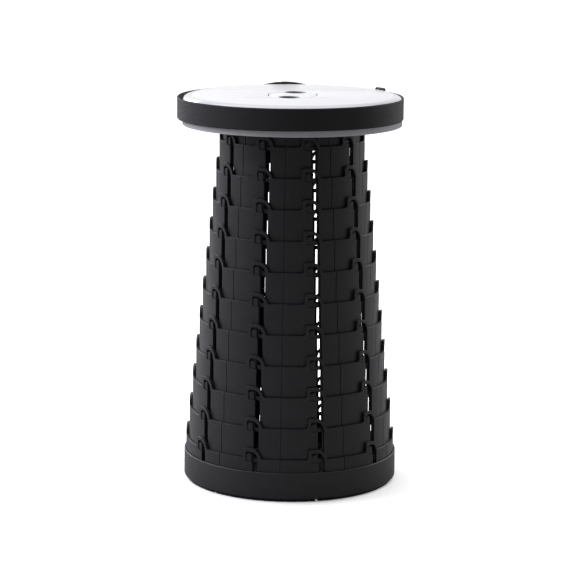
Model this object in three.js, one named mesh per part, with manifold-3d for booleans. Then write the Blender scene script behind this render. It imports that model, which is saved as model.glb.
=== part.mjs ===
// Round telescoping camp stool: a base tray, twelve nested rings and a disc seat with a
// webbing carry strap. Millimetres, +Z up, origin at the middle of the base on the ground.
// Each ring hangs its lugs in the hooked windows of the next ring out, and slides down inside it.
import * as THREE from "three";
import { mergeVertices } from "three/addons/utils/BufferGeometryUtils.js";
import Module from "manifold-3d";

const wasm = await Module();
wasm.setup();

// ---- driving dimensions -------------------------------------------------------------------

// The nest of rings. Ring 0 is the innermost and carries the seat, the last one is the base's.
const RING_COUNT = 12;
const SECTORS = 10; // hooked windows round each ring
const FACETS = 30; // flats round each ring, a whole number to each sector
const FIRST_RADIUS = 80.4; // outside of ring 0
const WALL = 3.5;
const RUNNING_GAP = 0.35; // radial clearance from ring to ring
const FOOT_BAND = 4.4; // height of the closed hoop below the windows
const FIRST_SLOT_ANGLE = 17.4; // degrees from the front towards +X

// One hooked window: a slot with a hook to its left at the top, under an arch.
const SLOT_WIDTH = 7.1;
const HOOK_REACH = 11.7; // from the slot's centre line to the hook's far side
const HOOK_HEIGHT = 11.7; // from the hook's floor to the top of the window
const HOOK_DEPTH = 3.5; // from the panel's top edge down to the hook's floor
const ARCH_STRIP = 3.6; // width of the strip that bridges the window
const SHOULDER_RUN = 9.55; // how far the window's right shoulder takes to curve down
const SHOULDER_DROP = 12.2;

// The lug that hangs in the hook of the next ring out.
const LUG_WIDTH = 6.4;
const LUG_HEIGHT = 8.8;
const LUG_FOOT = 1.5; // underside of the lug above the ring's foot
const LUG_DEPTH = 2; // how far it stands out of the ring
const LUG_CLEARANCE = 0.3;

// How far each ring drops into the next one out.
const STEP = 35.3;

// The base.
const BASE_WALL = 1.9; // thickness of the tray's wall round the last ring
const BASE_RIM_HEIGHT = 34;
const BASE_EDGE_ROUND = 2.2;
const TRAY_UNDERSIDE = 3.4;
const TRAY_FLOOR = 2.2; // thickness
const PAD_COUNT = 6;
const PAD_SETBACK = 3.2; // from the tray's outside to the pads
const PAD_WIDTH = 14.5;
const PAD_SPAN = 52; // degrees
const PAD_RECESS = 1;
const PAD_ROOM = 0.8; // between a pad's sides and its recess

// The floor flange of the last ring, and the screws that hold the tray to it.
const FLANGE_THICKNESS = 2.7;
const SCREW_COUNT = 5;
const SCREW_SETBACK = 14.4; // from the outside of ring 0 to the screws' circle
const FLANGE_MARGIN = 8; // from the screws' circle to the floor flange's inner edge
const BOSS_RADIUS = 4.4;
const BOSS_HEIGHT = 7;
const SHANK_RADIUS = 1.6;
const SHANK_LENGTH = 8.5;
const FLAT_HEAD_RADIUS = 3.8;
const PAN_HEAD_RADIUS = 5.6;
const PAN_HEAD_HEIGHT = 2.2;

// The seat.
const TRIM_ROOM = 0.57; // the trim ring slips outside the base's rim with this to spare
const TRIM_THICKNESS = 1.5;
const TRIM_HEIGHT = 7.3;
const SKIRT_HEIGHT = 26.6; // from the skirt's foot to the top of the seat
const SHOULDER_WIDTH = 9.8; // from the skirt's outside to the white disc let into the top
const SHOULDER_HEIGHT = 6;
const PANEL_THICKNESS = 1.2;
const DECK_THICKNESS = 1.7;
const SEAT_FLANGE_THICKNESS = 3;
const SEAT_FLANGE_MARGIN = 14; // from the screws' circle to the seat flange's inner edge

// The finger grip in the middle of the seat.
const GRIP_WIDTH = 54.6;
const GRIP_LENGTH = 84;
const GRIP_TURN = -7.5; // degrees, clockwise from above
const GRIP_PLATE_THICKNESS = 2;
const FINGER_HOLE_RADIUS = 12.3;
const FINGER_HOLE_OFFSET = 27;
const CUP_WALL = 2;
const CUP_DEPTH = 22;
const CUP_LIP = 2.5; // width of the lip that seats under the deck

// The carry strap round the seat.
const STRAP_WIDTH = 25.4;
const STRAP_THICKNESS = 1.5;
const STRAP_DROP = 1.8; // from the top of the seat to the strap's upper edge
const BUCKLE_ANGLE = 184; // middle of the buckle, degrees from the front towards +X
const BUCKLE_LENGTH = 54;
const BUCKLE_HEIGHT = 31;
const BUCKLE_THICKNESS = 7;
const SLIDER_ANGLE = 127;
const SLIDER_LENGTH = 17;
const SLIDER_THICKNESS = 3.4;

const PART_GAP = 0.3; // between pieces that seat on each other
const CLOSE_GAP = 0.15; // left and right of a piece let flush into another
const ROUND_FACETS = 40; // flats round the base and the seat
const SCREW_FACETS = 8; // flats round a screw, its boss and its holes

// ---- sizes that follow ----------------------------------------------------------------------

const RING_PITCH = WALL + RUNNING_GAP;
const LAST_RING = RING_COUNT - 1;
const FLOOR_TOP = TRAY_UNDERSIDE + TRAY_FLOOR + PART_GAP + FLANGE_THICKNESS;
const HOOK_FLOOR = LUG_FOOT + STEP - LUG_CLEARANCE;
const PANEL_HEIGHT = HOOK_FLOOR + HOOK_DEPTH; // from a ring's foot to its top edge between the arches
const WINDOW_TOP = HOOK_FLOOR + HOOK_HEIGHT;
const ARCH_HEIGHT = WINDOW_TOP + ARCH_STRIP;
const SEAT_RING_HEIGHT = ARCH_HEIGHT; // ring 0 is closed up to the height of the other rings' arches
const HOOK_MIDDLE = -(HOOK_REACH + SLOT_WIDTH / 2) / 2;

const ringRadius = (k) => FIRST_RADIUS + RING_PITCH * k;
const ringFoot = (k) => FLOOR_TOP + STEP * (LAST_RING - k);

const BASE_RADIUS = ringRadius(LAST_RING) + RUNNING_GAP + BASE_WALL;
const PAD_OUTER_RADIUS = BASE_RADIUS - PAD_SETBACK;
const PAD_INNER_RADIUS = PAD_OUTER_RADIUS - PAD_WIDTH;
const SCREW_CIRCLE = FIRST_RADIUS - SCREW_SETBACK;
const FLANGE_INNER_RADIUS = SCREW_CIRCLE - FLANGE_MARGIN;
const SEAT_FLANGE_INNER_RADIUS = SCREW_CIRCLE - SEAT_FLANGE_MARGIN;

const SEAT_FLANGE_TOP = ringFoot(0) + SEAT_RING_HEIGHT;
const DECK_UNDERSIDE = SEAT_FLANGE_TOP + PART_GAP;
const DECK_TOP = DECK_UNDERSIDE + DECK_THICKNESS;
const SEAT_HEIGHT = DECK_TOP + PART_GAP + PANEL_THICKNESS;
const SKIRT_FOOT = SEAT_HEIGHT - SKIRT_HEIGHT;
const TRIM_TOP = SKIRT_FOOT - PART_GAP;
const TRIM_FOOT = TRIM_TOP - TRIM_HEIGHT;
const TRIM_INNER_RADIUS = BASE_RADIUS + TRIM_ROOM;
const TRIM_RADIUS = TRIM_INNER_RADIUS + TRIM_THICKNESS;
const SEAT_RADIUS = TRIM_RADIUS; // the skirt is flush with the trim ring
const PANEL_RADIUS = SEAT_RADIUS - SHOULDER_WIDTH;

// ---- finishes ---------------------------------------------------------------------------------

const finish = (color, roughness, metalness = 0) =>
  new THREE.MeshStandardMaterial({ color, roughness, metalness });
const ringPlastic = () => finish(0x18181a, 0.45);
const basePlastic = () => finish(0x1a1a1b, 0.5);
const rubber = () => finish(0x0c0c0c, 0.9);
const whitePlastic = () => finish(0xf2f2f5, 0.2);
const silverPlastic = () => finish(0xb9babf, 0.3);
const darkPlastic = () => finish(0x202022, 0.5);
const webbing = () => finish(0x151516, 0.95);
const zincSteel = () => finish(0xb4b6b8, 0.35, 1);

// ---- solids -------------------------------------------------------------------------------------

const degrees = (angle) => (angle * Math.PI) / 180;
const lastOf = (list) => list[list.length - 1];

// A closed three.js geometry as a solid that can be joined and cut.
function solidOf(geometry) {
  const bare = geometry.clone();
  bare.deleteAttribute("normal");
  bare.deleteAttribute("uv");
  const merged = mergeVertices(bare, 1e-4);
  return new wasm.Manifold(
    new wasm.Mesh({
      numProp: 3,
      vertProperties: merged.attributes.position.array,
      triVerts: new Uint32Array(merged.index.array),
    }),
  );
}

const SIMPLIFY = 0.01; // edges and slivers smaller than this are merged away

// A solid as a named mesh.
function meshOf(name, solid, material) {
  const { numProp, numVert, vertProperties, triVerts } = solid.asOriginal().simplify(SIMPLIFY).getMesh();
  const positions = new Float32Array(numVert * 3);
  for (let i = 0; i < numVert; i++) {
    positions.set(vertProperties.subarray(i * numProp, i * numProp + 3), i * 3);
  }
  const geometry = new THREE.BufferGeometry()
    .setAttribute("position", new THREE.BufferAttribute(positions, 3))
    .setIndex(new THREE.BufferAttribute(triVerts, 1))
    .toNonIndexed();
  geometry.computeVertexNormals();
  const mesh = new THREE.Mesh(geometry, material);
  mesh.name = name;
  return mesh;
}

// A body of revolution about Z. The profile is a list of [radius, height] pairs: it runs up the
// outside and down the inside, and it closes by itself unless it starts and ends on the axis.
function turned(profile, facets = ROUND_FACETS) {
  const points = profile.map(([r, z]) => new THREE.Vector2(r, z));
  if (points[0].x > 0 || lastOf(points).x > 0) points.push(points[0].clone());
  return solidOf(new THREE.LatheGeometry(points, facets).rotateX(Math.PI / 2));
}

const tube = (inner, outer, bottom, top, facets) =>
  turned([[inner, bottom], [outer, bottom], [outer, top], [inner, top]], facets);

const rod = (radius, bottom, top, facets = SCREW_FACETS) =>
  turned([[0, bottom], [radius, bottom], [radius, top], [0, top]], facets);

// A flat outline extruded away from the axis. The outline's x runs round the ring to the right
// as seen from outside, its y is the height, and `from` and `to` are distances from the axis.
function radialPrism(shape, from, to, curveSegments = 4) {
  const geometry = new THREE.ExtrudeGeometry(shape, { depth: to - from, bevelEnabled: false, curveSegments });
  geometry.translate(0, 0, from).rotateX(Math.PI / 2);
  return solidOf(geometry);
}

// A flat outline in plan, extruded upwards.
function plate(shape, bottom, top, curveSegments = 12) {
  const settings = { depth: top - bottom, bevelEnabled: false, curveSegments };
  return solidOf(new THREE.ExtrudeGeometry(shape, settings).translate(0, 0, bottom));
}

// Turns a solid that faces the front round to an angle from the front towards +X.
const faceTo = (solid, angle) => solid.rotate([0, 0, angle]);

function rounds(count, make) {
  return Array.from({ length: count }, (_, i) => make(i)).reduce((all, next) => all.add(next));
}

function rectangle(left, right, bottom, top) {
  const shape = new THREE.Shape();
  shape.moveTo(left, bottom);
  shape.lineTo(right, bottom);
  shape.lineTo(right, top);
  shape.lineTo(left, top);
  return shape;
}

// ---- the rings ------------------------------------------------------------------------------------

const CURVE_STEPS = 2; // straight pieces in each shoulder curve

// Adds the quarter ellipse that falls from the top of a shoulder to its right-hand foot,
// or climbs it when `upwards` is set.
function shoulder(shape, middle, foot, run, drop, upwards) {
  for (let i = 0; i <= CURVE_STEPS; i++) {
    const t = ((upwards ? i : CURVE_STEPS - i) / CURVE_STEPS) * (Math.PI / 2);
    shape.lineTo(middle + run * Math.cos(t), foot + drop * Math.sin(t));
  }
}

const SHOULDER_MIDDLE = SLOT_WIDTH / 2 - SHOULDER_RUN;
const SHOULDER_FOOT = WINDOW_TOP - SHOULDER_DROP;

function windowShape() {
  const shape = new THREE.Shape();
  shape.moveTo(-SLOT_WIDTH / 2, FOOT_BAND);
  shape.lineTo(SLOT_WIDTH / 2, FOOT_BAND);
  shoulder(shape, SHOULDER_MIDDLE, SHOULDER_FOOT, SHOULDER_RUN, SHOULDER_DROP, true);
  shape.lineTo(-HOOK_REACH, WINDOW_TOP);
  shape.lineTo(-HOOK_REACH, HOOK_FLOOR);
  shape.lineTo(-SLOT_WIDTH / 2, HOOK_FLOOR);
  return shape;
}

function archShape() {
  const left = -HOOK_REACH - ARCH_STRIP;
  const run = SHOULDER_RUN + ARCH_STRIP;
  const drop = SHOULDER_DROP + ARCH_STRIP;
  const shape = new THREE.Shape();
  shape.moveTo(left, SHOULDER_FOOT);
  shoulder(shape, SHOULDER_MIDDLE, SHOULDER_FOOT, run, drop, true);
  shape.lineTo(left, ARCH_HEIGHT);
  return shape;
}

// A distance round a ring as an angle in degrees.
const angleOf = (distance, radius) => THREE.MathUtils.radToDeg(distance / radius);

// One ring, standing with its foot at height 0.
function ringSolid(k) {
  const outer = ringRadius(k);
  const inner = outer - WALL;
  const isSeatRing = k === 0;
  const isBaseRing = k === LAST_RING;
  const past = 2 * WALL; // how far a cutter runs past both faces of the wall
  const wallTop = isSeatRing ? SEAT_RING_HEIGHT : PANEL_HEIGHT;

  const windowCut = radialPrism(windowShape(), inner - past, outer + past);
  const channelHalf = (HOOK_REACH + SLOT_WIDTH / 2) / 2 - LUG_CLEARANCE;
  const channelAngle = angleOf((SLOT_WIDTH / 2 - HOOK_REACH) / 2, outer);
  const channelCut = radialPrism(
    rectangle(-channelHalf, channelHalf, -1, HOOK_FLOOR),
    inner - past,
    inner - RUNNING_GAP + LUG_DEPTH + LUG_CLEARANCE,
  );

  const archPrism = radialPrism(archShape(), inner - past, outer + past);

  let ring = tube(inner, outer, 0, wallTop, FACETS);
  let arches, cuts, lugs;
  for (let i = 0; i < SECTORS; i++) {
    const angle = FIRST_SLOT_ANGLE + (360 / SECTORS) * i;
    const join = (all, next) => (all ? all.add(next) : next);
    const cut = isSeatRing ? windowCut : windowCut.add(faceTo(channelCut, channelAngle));
    cuts = join(cuts, faceTo(cut, angle));
    if (!isSeatRing) arches = join(arches, faceTo(archPrism, angle));
    if (!isBaseRing) {
      const lug = radialPrism(
        rectangle(-LUG_WIDTH / 2, LUG_WIDTH / 2, LUG_FOOT, LUG_FOOT + LUG_HEIGHT),
        outer - WALL / 2,
        outer + LUG_DEPTH,
      );
      lugs = join(lugs, faceTo(lug, angle + angleOf(HOOK_MIDDLE, outer + RING_PITCH)));
    }
  }
  if (!isSeatRing) {
    ring = ring.add(tube(inner, outer, 0, ARCH_HEIGHT, FACETS).intersect(arches));
  }
  ring = ring.subtract(cuts);
  return isBaseRing ? ring : ring.add(lugs);
}

const aroundCircle = (solid, radius, i, count) =>
  faceTo(solid.translate([0, -radius, 0]), (360 / count) * i);

// Ring 0 has a flange at its top, which the seat is screwed to.
function seatRing() {
  const top = SEAT_FLANGE_TOP;
  const flange = tube(
    SEAT_FLANGE_INNER_RADIUS,
    FIRST_RADIUS - WALL / 2,
    top - SEAT_FLANGE_THICKNESS,
    top,
    FACETS,
  );
  const hole = rod(BOSS_RADIUS + PART_GAP, top - SEAT_FLANGE_THICKNESS - 1, top + 1);
  const holes = rounds(SCREW_COUNT, (i) => aroundCircle(hole, SCREW_CIRCLE, i, SCREW_COUNT));
  return ringSolid(0).translate([0, 0, ringFoot(0)]).add(flange).subtract(holes);
}

// The last ring stands in the base. Its floor flange is what the collapsed rings rest on.
function baseRing() {
  const outer = ringRadius(LAST_RING);
  const flange = tube(
    FLANGE_INNER_RADIUS,
    outer - WALL / 2,
    FLOOR_TOP - FLANGE_THICKNESS,
    FLOOR_TOP,
    FACETS,
  );
  const boss = rod(BOSS_RADIUS, FLOOR_TOP - FLANGE_THICKNESS, FLOOR_TOP + BOSS_HEIGHT);
  const pilot = rod(SHANK_RADIUS + PART_GAP, 0, FLOOR_TOP + BOSS_HEIGHT - 1.5);
  const bosses = rounds(SCREW_COUNT, (i) => aroundCircle(boss, SCREW_CIRCLE, i, SCREW_COUNT));
  const pilots = rounds(SCREW_COUNT, (i) => aroundCircle(pilot, SCREW_CIRCLE, i, SCREW_COUNT));
  const foot = tube(outer - WALL, outer, FLOOR_TOP - FLANGE_THICKNESS, FLOOR_TOP + 0.5, FACETS);
  return ringSolid(LAST_RING)
    .translate([0, 0, FLOOR_TOP])
    .add(foot)
    .add(flange)
    .add(bosses)
    .subtract(pilots);
}

// ---- the base -----------------------------------------------------------------------------------

const FLAT_HEAD_DEPTH = FLAT_HEAD_RADIUS - SHANK_RADIUS;

function baseTray() {
  const bottom = TRAY_UNDERSIDE;
  const insideRadius = ringRadius(LAST_RING) + RUNNING_GAP;
  const floorTop = bottom + TRAY_FLOOR;
  const edge = [0, 45, 90].map((a) => [
    BASE_RADIUS - BASE_EDGE_ROUND * (1 - Math.sin(degrees(a))),
    bottom + BASE_EDGE_ROUND * (1 - Math.cos(degrees(a))),
  ]);
  const body = turned([
    [0, bottom],
    [PAD_INNER_RADIUS - PAD_ROOM, bottom],
    [PAD_INNER_RADIUS - PAD_ROOM, bottom + PAD_RECESS],
    [PAD_OUTER_RADIUS + PAD_ROOM, bottom + PAD_RECESS],
    [PAD_OUTER_RADIUS + PAD_ROOM, bottom],
    ...edge,
    [BASE_RADIUS, BASE_RIM_HEIGHT],
    [0, BASE_RIM_HEIGHT],
  ]);
  // The bore has the rings' own flats, so the last ring keeps its clearance all round.
  const bore = rod(insideRadius, floorTop, BASE_RIM_HEIGHT + 1, FACETS);
  const sink = turned(
    [
      [0, bottom - 1],
      [FLAT_HEAD_RADIUS + PART_GAP, bottom - 1],
      [FLAT_HEAD_RADIUS + PART_GAP, bottom],
      [SHANK_RADIUS + PART_GAP, bottom + FLAT_HEAD_DEPTH],
      [SHANK_RADIUS + PART_GAP, floorTop + 1],
      [0, floorTop + 1],
    ],
    SCREW_FACETS,
  );
  const sinks = rounds(SCREW_COUNT, (i) => aroundCircle(sink, SCREW_CIRCLE, i, SCREW_COUNT));
  return body.subtract(bore).subtract(sinks);
}

function baseScrew(i) {
  const head = TRAY_UNDERSIDE + 0.1;
  const screw = turned(
    [
      [0, head],
      [FLAT_HEAD_RADIUS - 0.1, head],
      [SHANK_RADIUS, head + FLAT_HEAD_DEPTH - 0.1],
      [SHANK_RADIUS, head + FLAT_HEAD_DEPTH + SHANK_LENGTH - 2],
      [0, head + FLAT_HEAD_DEPTH + SHANK_LENGTH - 0.5],
    ],
    SCREW_FACETS,
  );
  return aroundCircle(screw, SCREW_CIRCLE, i, SCREW_COUNT);
}

function footPad(i) {
  const shape = new THREE.Shape();
  const half = degrees(PAD_SPAN / 2);
  shape.absarc(0, 0, PAD_OUTER_RADIUS, -half, half, false);
  shape.absarc(0, 0, PAD_INNER_RADIUS, half, -half, true);
  const top = TRAY_UNDERSIDE + PAD_RECESS - PART_GAP / 2;
  return faceTo(plate(shape, 0, top, 5), (360 / PAD_COUNT) * (i + 0.25));
}

// ---- the seat -------------------------------------------------------------------------------------

function ovalShape(width, length) {
  const shape = new THREE.Shape();
  shape.absellipse(0, 0, width / 2, length / 2, 0, 2 * Math.PI, false, 0);
  return shape;
}

const gripOval = (grow, bottom, top) =>
  faceTo(plate(ovalShape(GRIP_WIDTH + 2 * grow, GRIP_LENGTH + 2 * grow), bottom, top), GRIP_TURN);

// The moulded cap: deck, rounded shoulder and skirt in one, with bosses for the seat screws.
function seatCap() {
  const shoulderFoot = SEAT_HEIGHT - SHOULDER_HEIGHT;
  const shoulderRun = SEAT_RADIUS - PANEL_RADIUS - CLOSE_GAP;
  const curve = [0, 30, 60, 90].map((a) => [
    SEAT_RADIUS - shoulderRun * (1 - Math.cos(degrees(a))),
    shoulderFoot + SHOULDER_HEIGHT * Math.sin(degrees(a)),
  ]);
  const body = turned([
    [0, DECK_UNDERSIDE],
    [TRIM_INNER_RADIUS - 1, DECK_UNDERSIDE],
    [TRIM_INNER_RADIUS, DECK_UNDERSIDE - 1],
    [TRIM_INNER_RADIUS, SKIRT_FOOT],
    [SEAT_RADIUS, SKIRT_FOOT],
    ...curve,
    [PANEL_RADIUS + CLOSE_GAP, DECK_TOP],
    [0, DECK_TOP],
  ]);
  const boss = rod(BOSS_RADIUS, SEAT_FLANGE_TOP - SEAT_FLANGE_THICKNESS, DECK_UNDERSIDE + 0.5);
  const pilot = rod(SHANK_RADIUS + PART_GAP, SEAT_FLANGE_TOP - SEAT_FLANGE_THICKNESS - 1, DECK_TOP - 0.8);
  const bosses = rounds(SCREW_COUNT, (i) => aroundCircle(boss, SCREW_CIRCLE, i, SCREW_COUNT));
  const pilots = rounds(SCREW_COUNT, (i) => aroundCircle(pilot, SCREW_CIRCLE, i, SCREW_COUNT));
  return body
    .add(bosses)
    .subtract(pilots)
    .subtract(gripOval(CLOSE_GAP, DECK_UNDERSIDE - 1, DECK_TOP + 1));
}

// The trim ring below the strap continues the inside of the skirt downwards.
function seatTrim() {
  const edge = TRIM_THICKNESS / 3;
  return turned([
    [TRIM_INNER_RADIUS, TRIM_FOOT],
    [TRIM_RADIUS - edge, TRIM_FOOT],
    [TRIM_RADIUS, TRIM_FOOT + edge],
    [TRIM_RADIUS, TRIM_TOP],
    [TRIM_INNER_RADIUS, TRIM_TOP],
  ]);
}

function seatPanel() {
  const disc = rod(PANEL_RADIUS, SEAT_HEIGHT - PANEL_THICKNESS, SEAT_HEIGHT, ROUND_FACETS);
  return disc.subtract(gripOval(CLOSE_GAP, DECK_TOP, SEAT_HEIGHT + 1));
}

function gripPlate() {
  const body = gripOval(0, SEAT_HEIGHT - GRIP_PLATE_THICKNESS, SEAT_HEIGHT);
  const hole = rod(FINGER_HOLE_RADIUS, SEAT_HEIGHT - GRIP_PLATE_THICKNESS - 1, SEAT_HEIGHT + 1, 24);
  const holes = [-1, 1].map((side) => faceTo(hole.translate([0, side * FINGER_HOLE_OFFSET, 0]), GRIP_TURN));
  return body.subtract(holes[0]).subtract(holes[1]);
}

// The cup under the finger holes. It hangs from the deck by its outer lip.
function gripCup() {
  const top = SEAT_HEIGHT - GRIP_PLATE_THICKNESS - PART_GAP;
  const lipTop = DECK_UNDERSIDE - PART_GAP;
  return gripOval(0, top - CUP_DEPTH, top)
    .add(gripOval(CUP_LIP, lipTop - CUP_WALL, lipTop))
    .subtract(gripOval(-CUP_WALL, top - CUP_DEPTH + CUP_WALL, top + 1));
}

function seatScrew(i) {
  const seat = SEAT_FLANGE_TOP - SEAT_FLANGE_THICKNESS - CLOSE_GAP;
  const screw = turned(
    [
      [0, seat - PAN_HEAD_HEIGHT],
      [PAN_HEAD_RADIUS - 1, seat - PAN_HEAD_HEIGHT],
      [PAN_HEAD_RADIUS, seat - PAN_HEAD_HEIGHT + 1],
      [PAN_HEAD_RADIUS, seat],
      [SHANK_RADIUS, seat],
      [SHANK_RADIUS, DECK_TOP - 2.6],
      [0, DECK_TOP - 1.4],
    ],
    SCREW_FACETS,
  );
  return aroundCircle(screw, SCREW_CIRCLE, i, SCREW_COUNT);
}

// ---- the strap --------------------------------------------------------------------------------------

const STRAP_INNER_RADIUS = SEAT_RADIUS + PART_GAP;
const STRAP_OUTER_RADIUS = STRAP_INNER_RADIUS + STRAP_THICKNESS;
const STRAP_FOOT = SEAT_HEIGHT - STRAP_DROP - STRAP_WIDTH;
const STRAP_MIDDLE = STRAP_FOOT + STRAP_WIDTH / 2;

// The webbing goes once round the skirt and stops at the two halves of the buckle.
function strapBand() {
  const band = tube(
    STRAP_INNER_RADIUS,
    STRAP_OUTER_RADIUS,
    STRAP_FOOT,
    STRAP_FOOT + STRAP_WIDTH,
    ROUND_FACETS,
  );
  const halfGap = BUCKLE_LENGTH / 2 + PART_GAP;
  const gap = radialPrism(
    rectangle(-halfGap, halfGap, STRAP_FOOT - 1, STRAP_FOOT + STRAP_WIDTH + 1),
    STRAP_INNER_RADIUS / 2,
    2 * STRAP_OUTER_RADIUS,
  );
  return band.subtract(faceTo(gap, BUCKLE_ANGLE));
}

// A curved block that stands on the outside of the strap's round, `left` to `right` of an angle.
function bentBlock(inner, thickness, left, right, height, angle) {
  const bottom = STRAP_MIDDLE - height / 2;
  const top = STRAP_MIDDLE + height / 2;
  const keep = radialPrism(rectangle(left, right, bottom - 1, top + 1), inner / 2, 2 * inner);
  return tube(inner, inner + thickness, bottom, top).intersect(faceTo(keep, angle));
}

// The two halves of the side-release buckle fill the gap in the webbing.
const BUCKLE_SPLIT = 6; // the socket takes this much more than half of the buckle
const PLUG_SMALLER = 0.5; // the plug's body is this much slimmer all round
const buckleSocket = () =>
  bentBlock(
    STRAP_INNER_RADIUS,
    BUCKLE_THICKNESS,
    -BUCKLE_LENGTH / 2,
    BUCKLE_SPLIT - PART_GAP / 2,
    BUCKLE_HEIGHT,
    BUCKLE_ANGLE,
  );
const bucklePlug = () =>
  bentBlock(
    STRAP_INNER_RADIUS,
    BUCKLE_THICKNESS - PLUG_SMALLER,
    BUCKLE_SPLIT + PART_GAP / 2,
    BUCKLE_LENGTH / 2,
    BUCKLE_HEIGHT - 2 * PLUG_SMALLER,
    BUCKLE_ANGLE,
  );

// The slider stands on the outside of the webbing and grips it between its bars.
const strapSlider = () =>
  bentBlock(
    STRAP_OUTER_RADIUS + PART_GAP,
    SLIDER_THICKNESS,
    -SLIDER_LENGTH / 2,
    SLIDER_LENGTH / 2,
    BUCKLE_HEIGHT,
    SLIDER_ANGLE,
  );

// ---- the stool ----------------------------------------------------------------------------------------

const stool = new THREE.Group();
const put = (name, solid, material) => stool.add(meshOf(name, solid, material));

put("base_tray", baseTray(), basePlastic());
for (let i = 0; i < PAD_COUNT; i++) put(`foot_pad_${i + 1}`, footPad(i), rubber());
for (let i = 0; i < SCREW_COUNT; i++) put(`base_screw_${i + 1}`, baseScrew(i), zincSteel());

const ringName = (k) => `ring_${String(k).padStart(2, "0")}`;
put(ringName(LAST_RING), baseRing(), ringPlastic());
for (let k = LAST_RING - 1; k > 0; k--) {
  put(ringName(k), ringSolid(k).translate([0, 0, ringFoot(k)]), ringPlastic());
}
put(ringName(0), seatRing(), ringPlastic());

put("seat_cap", seatCap(), silverPlastic());
put("seat_trim", seatTrim(), silverPlastic());
put("seat_panel", seatPanel(), whitePlastic());
put("grip_plate", gripPlate(), whitePlastic());
put("grip_cup", gripCup(), darkPlastic());
for (let i = 0; i < SCREW_COUNT; i++) put(`seat_screw_${i + 1}`, seatScrew(i), zincSteel());

put("strap_band", strapBand(), webbing());
put("buckle_socket", buckleSocket(), darkPlastic());
put("buckle_plug", bucklePlug(), darkPlastic());
put("strap_slider", strapSlider(), darkPlastic());

export default stool;
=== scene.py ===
# %% [markdown]
# # A round telescoping camp stool
# Twelve black rings hang inside each other, from a shallow base up to a white disc seat with a
# webbing strap. Everything round is spun or bent from a flat drawing. The CAD frame gives each
# ring's place, and its joints move what is made here.

# %% Load the frame
import math
from contextlib import contextmanager

import bmesh
import bpy
import numpy as np
from mathutils import Matrix, Vector


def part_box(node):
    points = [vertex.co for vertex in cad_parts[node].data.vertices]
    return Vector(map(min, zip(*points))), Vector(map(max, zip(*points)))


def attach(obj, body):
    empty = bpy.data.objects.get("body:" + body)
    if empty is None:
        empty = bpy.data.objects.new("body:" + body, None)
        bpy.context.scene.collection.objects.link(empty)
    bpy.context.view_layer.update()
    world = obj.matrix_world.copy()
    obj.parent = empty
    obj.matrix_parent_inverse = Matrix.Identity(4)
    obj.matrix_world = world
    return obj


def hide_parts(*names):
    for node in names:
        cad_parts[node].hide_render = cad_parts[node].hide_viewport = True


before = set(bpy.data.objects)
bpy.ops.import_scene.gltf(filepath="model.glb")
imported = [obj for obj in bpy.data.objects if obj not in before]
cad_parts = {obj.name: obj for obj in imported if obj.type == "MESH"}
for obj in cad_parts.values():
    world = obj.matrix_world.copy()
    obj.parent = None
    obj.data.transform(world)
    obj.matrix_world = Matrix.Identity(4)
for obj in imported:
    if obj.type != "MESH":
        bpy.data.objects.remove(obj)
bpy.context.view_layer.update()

# %% [markdown]
# ## Working in millimetres
# A stool is drawn in millimetres and Blender counts in metres. Every number could be written in
# metres, but a wall of 3.5 reads better than one of 0.0035. So the pieces are drawn in
# millimetres and scaled once, when they are placed.

# %% Read the sizes from the frame
MM = 0.001


def corners_of(node):
    """A CAD node's lowest and highest corner, in millimetres."""
    low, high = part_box(node)
    return low / MM, high / MM


def ring_name(k):
    return f"ring_{k:02d}"


LAST_RING = 11
SECTORS = 10
WALL = 3.5
RUNNING_GAP = 0.35
RING_PITCH = WALL + RUNNING_GAP
RINGS = range(LAST_RING + 1)
LAST_RADIUS = corners_of(ring_name(LAST_RING))[1].y
ring_radius = {k: LAST_RADIUS - RING_PITCH * (LAST_RING - k) for k in RINGS}
ring_foot = {k: corners_of(ring_name(k))[0].z for k in RINGS}
FLOOR_FLANGE = 2.7
ring_foot[LAST_RING] += FLOOR_FLANGE
STEP = ring_foot[0] - ring_foot[1]
print("ring radii", {k: round(r, 2) for k, r in ring_radius.items()}, "step", round(STEP, 2))

# %% [markdown]
# ## Drawing with rounded corners
# A moulded part has no sharp corners in outline. A Bezier curve could be drawn by hand, but its
# handles would be wrong as soon as a size changed. So each outline is a short list of corners,
# each with its own radius, and one function turns the corners into arcs.

# %% Rounded outlines
ARC_STEP = math.radians(15)


def rounded(corners):
    """A closed outline from (x, y, corner radius) triples."""
    points = []
    for i, (x, y, radius) in enumerate(corners):
        here = Vector((x, y))
        back = Vector(corners[i - 1][:2]) - here
        ahead = Vector(corners[(i + 1) % len(corners)][:2]) - here
        if radius == 0:
            points.append(here)
            continue
        half = back.angle(ahead) / 2
        reach = min(radius / math.tan(half), 0.49 * back.length, 0.49 * ahead.length)
        centre = here + (back.normalized() + ahead.normalized()).normalized() * (
            reach / math.cos(half)
        )
        start = here + back.normalized() * reach - centre
        turn = math.copysign(math.pi - 2 * half, back.cross(ahead) * -1)
        steps = max(2, math.ceil(abs(turn) / ARC_STEP))
        for s in range(steps + 1):
            points.append(centre + Matrix.Rotation(turn * s / steps, 2) @ start)
    return points


def quarter_ellipse(middle, foot, run, drop, start=0, steps=9):
    """Points up a shoulder, from its foot on the right to its top."""
    angles = np.radians(np.linspace(start, 90, steps))
    return [(middle + run * math.cos(a), foot + drop * math.sin(a), 0) for a in angles]


def oval(width, length, steps=72):
    angles = np.linspace(0, 2 * math.pi, steps, endpoint=False)
    return [Vector((width / 2 * math.cos(a), length / 2 * math.sin(a))) for a in angles]


# %% [markdown]
# ## Sheets and turned bodies
# Two helpers make nearly everything. A filled 2-D curve with extrusion and a small bevel gives a
# sheet of even thickness with softened edges. A profile spun round the upright axis gives the
# round parts. Solidify and Screw modifiers could do the same, but both kinds are cut, bent and
# joined afterwards, which is simplest with plain meshes.

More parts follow.
